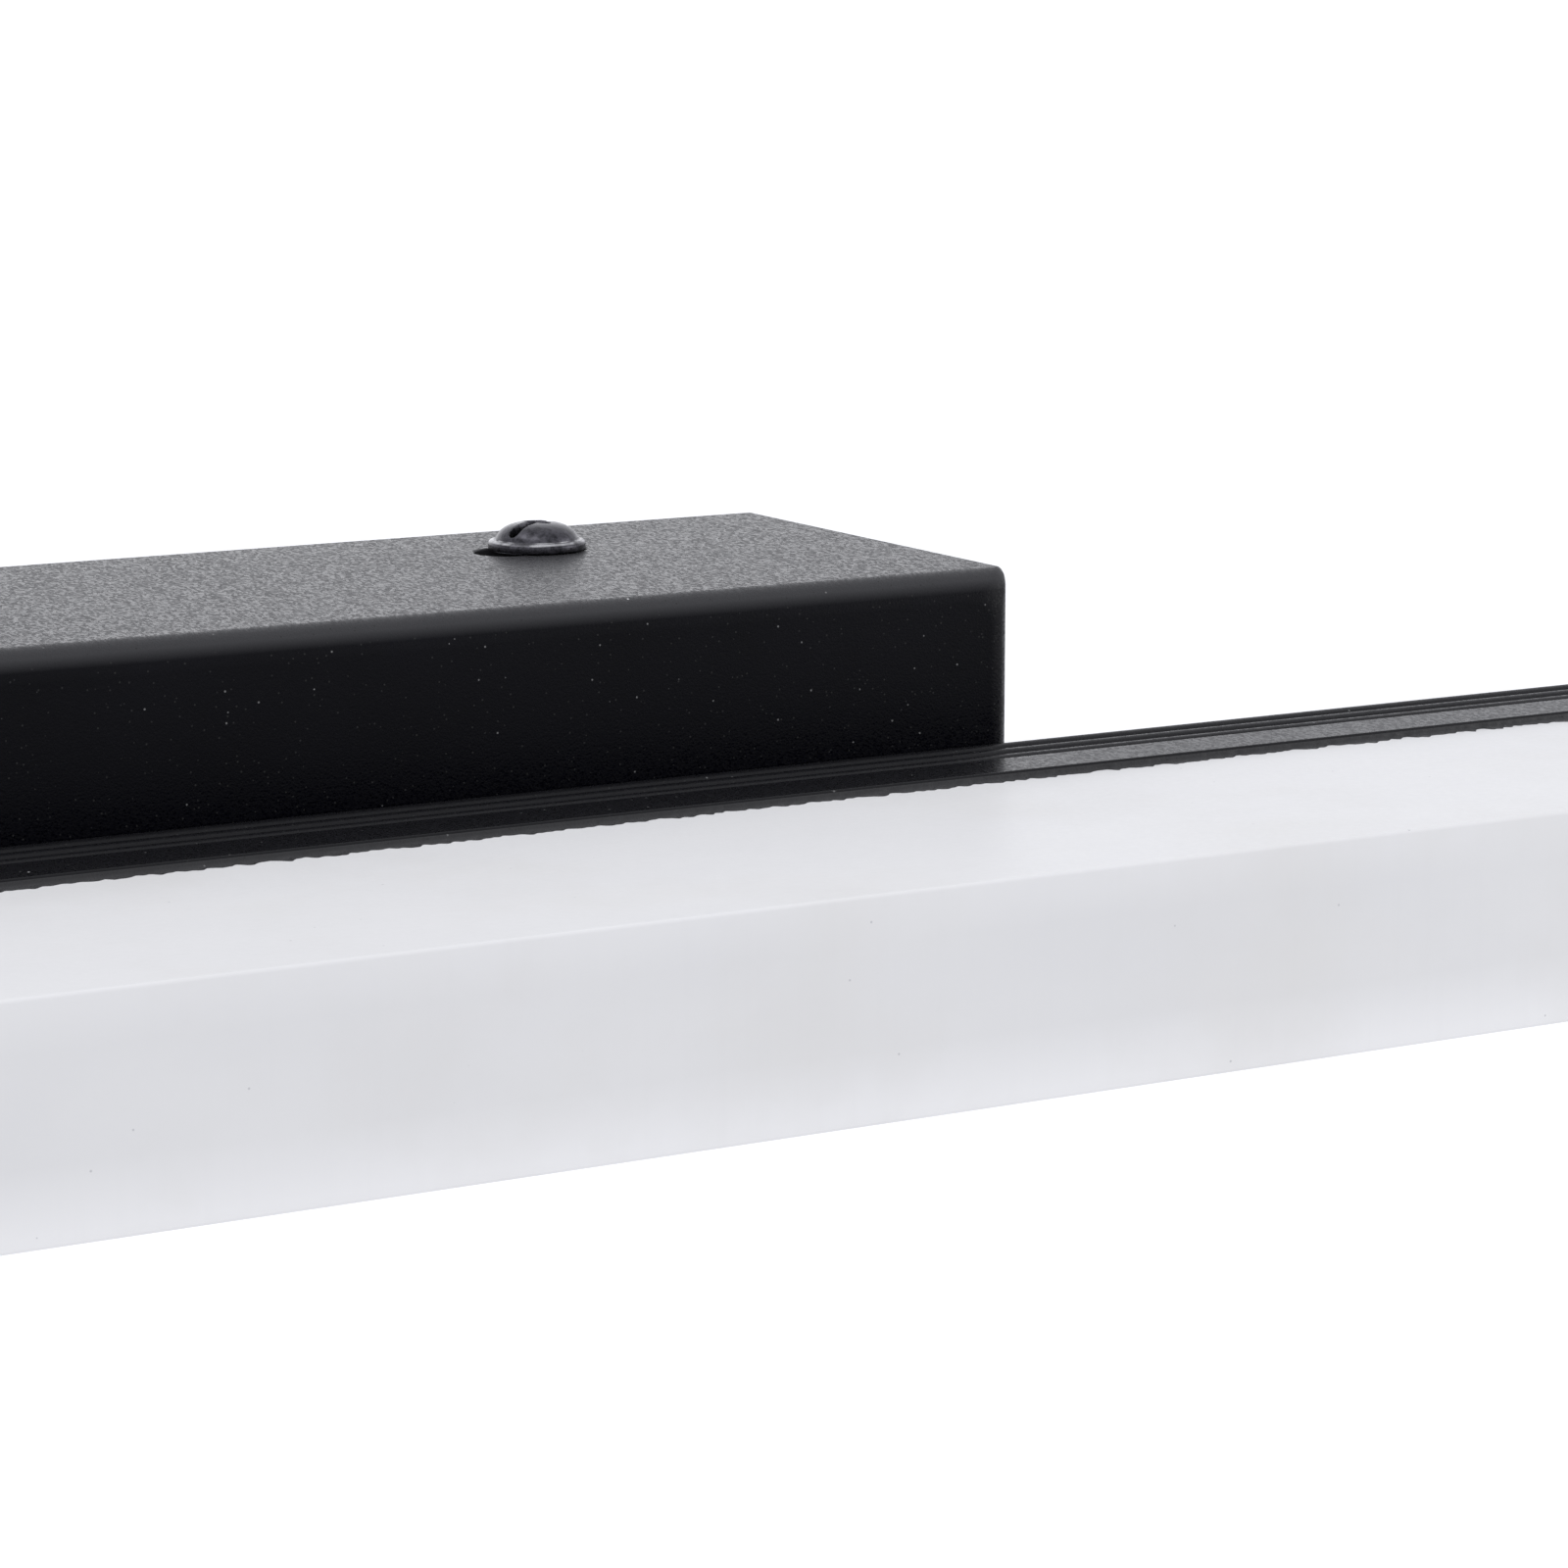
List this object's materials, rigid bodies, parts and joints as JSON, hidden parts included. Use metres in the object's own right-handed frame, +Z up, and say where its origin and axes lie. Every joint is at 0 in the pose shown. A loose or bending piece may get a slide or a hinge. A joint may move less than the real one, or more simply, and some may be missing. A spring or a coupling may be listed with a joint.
{
  "type": "vanity light bar",
  "caption": "Wall-hung light bar: black extruded channel with a deep frosted diffuser on a black steel canopy, held to its wall bracket by side screws in slots.",
  "frame": {"origin": "centre of the wall-side face, at the middle of the bracket's wall slots", "axes": "+X along the bar, +Y into the wall, +Z up"},
  "size_m": [0.61, 0.0962, 0.054],
  "materials": {
    "black_coat": "fine-textured black powder coat",
    "black_bar": "satin black coat on an aluminium extrusion",
    "frosted_acrylic": "frosted white translucent acrylic",
    "zinc_steel": "zinc-plated steel",
    "black_zinc": "black-plated steel",
    "white_board": "white solder mask on an aluminium core",
    "led_phosphor": "yellow phosphor in a white package",
    "tape": "grey thermal tape",
    "black_rubber": "moulded rubber",
    "white_plastic": "moulded white plastic",
    "green_board": "green circuit board",
    "ferrite": "dark ferrite with yellow tape",
    "black_sleeve": "black capacitor sleeve",
    "red_wire": "red insulation",
    "black_wire": "black insulation",
    "white_wire": "white insulation",
    "green_wire": "green insulation",
    "copper": "tinned copper",
    "brass": "brass"
  },
  "bodies": {
    "bracket": {"wall_bracket": "zinc_steel", "earth_screw": "brass"},
    "fixture": {"canopy": "black_coat", "wire_grommet": "black_rubber", "bar_channel": "black_bar", "diffuser": "frosted_acrylic", "diffuser_end_left": "frosted_acrylic", "diffuser_end_right": "frosted_acrylic", "end_cap_left": "black_bar", "end_cap_right": "black_bar", "end_cap_screws_left": "black_zinc", "end_cap_screws_right": "black_zinc", "thermal_tape": "tape", "led_board_left": "white_board", "led_board_right": "white_board", "led_chips_left": "led_phosphor", "led_chips_right": "led_phosphor", "board_links": "white_wire", "board_screws": "zinc_steel", "bar_screws": "zinc_steel", "bar_washers": "zinc_steel", "driver_base": "white_plastic", "driver_cover": "white_plastic", "driver_board": "green_board", "driver_transformer": "ferrite", "driver_capacitors": "black_sleeve", "driver_choke": "copper", "driver_switch": "black_sleeve", "stud_nuts": "zinc_steel", "terminal_block": "white_plastic", "terminal_screws": "zinc_steel", "led_lead_positive": "red_wire", "led_lead_negative": "black_wire", "supply_lead_line": "black_wire", "supply_lead_neutral": "white_wire", "earth_lead": "green_wire", "earth_lug": "copper", "earth_nut": "zinc_steel"},
    "screw_top_left": {"canopy_screw_top_left": "black_zinc"},
    "screw_top_right": {"canopy_screw_top_right": "black_zinc"},
    "screw_bottom_left": {"canopy_screw_bottom_left": "black_zinc"},
    "screw_bottom_right": {"canopy_screw_bottom_right": "black_zinc"}
  },
  "joints": [
    {"name": "fixture_shift", "type": "slide", "parent": "bracket", "child": "fixture", "axis": [1, 0, 0], "range_m": [-0.0025, 0.0025]},
    {"name": "top_left_screw_out", "type": "slide", "parent": "bracket", "child": "screw_top_left", "axis": [0, 0, 1], "range_m": [0, 0.0065]},
    {"name": "top_right_screw_out", "type": "slide", "parent": "bracket", "child": "screw_top_right", "axis": [0, 0, 1], "range_m": [0, 0.0065]},
    {"name": "bottom_left_screw_out", "type": "slide", "parent": "bracket", "child": "screw_bottom_left", "axis": [0, 0, -1], "range_m": [0, 0.0065]},
    {"name": "bottom_right_screw_out", "type": "slide", "parent": "bracket", "child": "screw_bottom_right", "axis": [0, 0, -1], "range_m": [0, 0.0065]}
  ]
}
